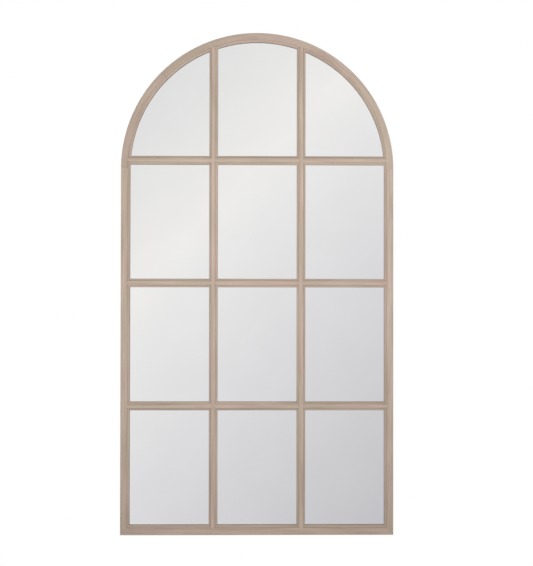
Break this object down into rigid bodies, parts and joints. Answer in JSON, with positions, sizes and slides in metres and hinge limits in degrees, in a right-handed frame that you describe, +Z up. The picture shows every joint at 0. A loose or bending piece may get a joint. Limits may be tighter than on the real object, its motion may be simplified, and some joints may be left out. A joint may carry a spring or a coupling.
{
  "type": "arched window mirror",
  "caption": "Tall wall mirror shaped like an arched window: a wooden frame and glazing bars over a sheet of mirror, hung on D-rings.",
  "frame": {"origin": "midway between the two wall hooks, on the wall plane, at the height where the raised D-rings bear on the hooks", "axes": "+X to the right as seen from the front, +Y back to the wall, +Z up"},
  "size_m": [0.76, 0.026, 1.4],
  "materials": {
    "whitewashed_wood": "whitewashed, matt",
    "raw_wood": "bare",
    "mirror": "polished",
    "packing": "foam",
    "hardboard": "smooth",
    "zinced_steel": "zinc plated",
    "black_rubber": "matt"
  },
  "bodies": {
    "mirror": {"left_stile": "whitewashed_wood", "right_stile": "whitewashed_wood", "bottom_rail": "whitewashed_wood", "arch_segment_1": "whitewashed_wood", "arch_segment_2": "whitewashed_wood", "arch_segment_3": "whitewashed_wood", "arch_segment_4": "whitewashed_wood", "upright_bar_1": "whitewashed_wood", "upright_bar_2": "whitewashed_wood", "cross_bar_1": "whitewashed_wood", "cross_bar_2": "whitewashed_wood", "cross_bar_3": "whitewashed_wood", "tongue_left_mitre": "raw_wood", "tongue_right_mitre": "raw_wood", "tongue_arch_joint_1": "raw_wood", "tongue_arch_joint_2": "raw_wood", "tongue_arch_joint_3": "raw_wood", "tongue_arch_joint_4": "raw_wood", "tongue_arch_joint_5": "raw_wood", "mirror_plate": "mirror", "packing_sheet": "packing", "backing_board": "hardboard", "backing_screw_01": "zinced_steel", "backing_screw_02": "zinced_steel", "backing_screw_03": "zinced_steel", "backing_screw_04": "zinced_steel", "backing_screw_05": "zinced_steel", "backing_screw_06": "zinced_steel", "backing_screw_07": "zinced_steel", "backing_screw_08": "zinced_steel", "backing_screw_09": "zinced_steel", "backing_screw_10": "zinced_steel", "backing_screw_11": "zinced_steel", "backing_screw_12": "zinced_steel", "backing_screw_13": "zinced_steel", "backing_screw_14": "zinced_steel", "left_hanger_strap": "zinced_steel", "right_hanger_strap": "zinced_steel", "left_hanger_screw_1": "zinced_steel", "left_hanger_screw_2": "zinced_steel", "right_hanger_screw_1": "zinced_steel", "right_hanger_screw_2": "zinced_steel", "left_bumper": "black_rubber", "right_bumper": "black_rubber"},
    "left_ring": {"left_d_ring": "zinced_steel"},
    "right_ring": {"right_d_ring": "zinced_steel"}
  },
  "joints": [
    {"name": "left_ring_swing", "type": "hinge", "parent": "mirror", "child": "left_ring", "pos_m": [-0.369, -0.00325, -0.01325], "axis": [1, 0, 0], "range_deg": [0, 180]},
    {"name": "right_ring_swing", "type": "hinge", "parent": "mirror", "child": "right_ring", "pos_m": [0.369, -0.00325, -0.01325], "axis": [1, 0, 0], "range_deg": [0, 180]}
  ]
}
